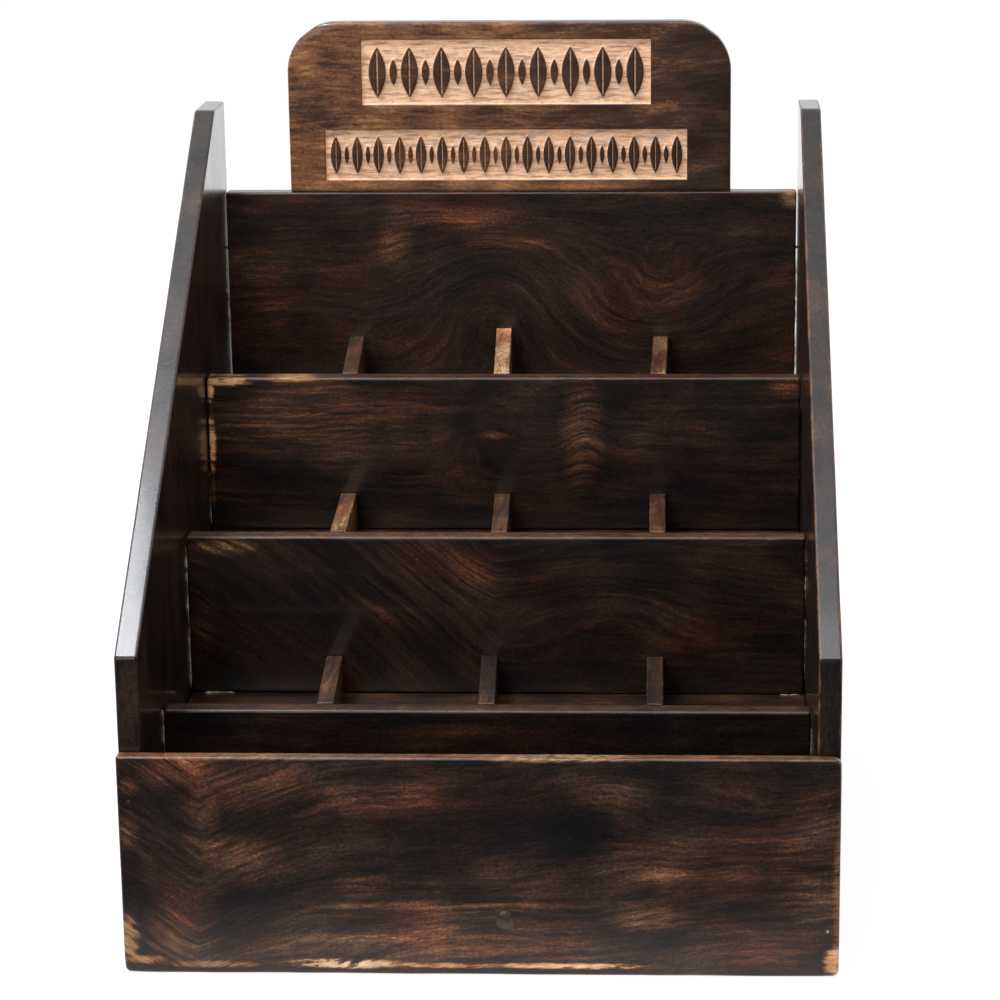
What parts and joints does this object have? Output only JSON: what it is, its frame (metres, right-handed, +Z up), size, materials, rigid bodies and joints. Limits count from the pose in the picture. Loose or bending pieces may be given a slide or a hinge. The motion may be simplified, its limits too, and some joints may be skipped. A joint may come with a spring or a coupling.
{
  "type": "nail polish rack",
  "caption": "Stepped counter rack of dark stained wood with divided pockets on rising tiers, an open front bin, sloped sides and a carved header board for displaying nail polish.",
  "frame": {"origin": "middle of the footprint, on the surface the rack stands on", "axes": "+Z up, -Y out of the front board, +X to the right seen from the front"},
  "size_m": [0.36, 0.3694, 0.4378],
  "materials": {
    "side_wood": "near black walnut stain under gloss lacquer",
    "board_wood": "dark brown stain with amber figure under gloss lacquer, worn at the edges",
    "header_wood": "warm brown stain, satin, with pale routed fields",
    "divider_wood": "thin brown stain, dull, worn pale on top",
    "plug_wood": "filled wooden plug, satin",
    "dowel_wood": "raw beech",
    "brad_steel": "plain steel, dull"
  },
  "bodies": {
    "root": {"side_left": "side_wood", "side_right": "side_wood", "front_board": "board_wood", "base_board": "board_wood", "back_panel": "board_wood", "riser_front": "board_wood", "riser_middle": "board_wood", "riser_rear": "board_wood", "tread_front": "board_wood", "tread_middle": "board_wood", "tread_rear": "board_wood", "divider_front_left": "divider_wood", "divider_front_center": "divider_wood", "divider_front_right": "divider_wood", "divider_middle_left": "divider_wood", "divider_middle_center": "divider_wood", "divider_middle_right": "divider_wood", "divider_rear_left": "divider_wood", "divider_rear_center": "divider_wood", "divider_rear_right": "divider_wood", "header_board": "header_wood", "brad_left_1": "brad_steel", "brad_left_2": "brad_steel", "brad_left_3": "brad_steel", "brad_left_4": "brad_steel", "brad_left_5": "brad_steel", "brad_left_6": "brad_steel", "brad_left_7": "brad_steel", "brad_left_8": "brad_steel", "brad_left_9": "brad_steel", "brad_left_10": "brad_steel", "brad_right_1": "brad_steel", "brad_right_2": "brad_steel", "brad_right_3": "brad_steel", "brad_right_4": "brad_steel", "brad_right_5": "brad_steel", "brad_right_6": "brad_steel", "brad_right_7": "brad_steel", "brad_right_8": "brad_steel", "brad_right_9": "brad_steel", "brad_right_10": "brad_steel", "brad_front_left_low": "brad_steel", "brad_front_left_high": "brad_steel", "brad_front_right_low": "brad_steel", "brad_front_right_high": "brad_steel", "front_screw": "brad_steel", "front_plug": "plug_wood", "header_dowel_left": "dowel_wood", "header_dowel_right": "dowel_wood"}
  },
  "joints": []
}
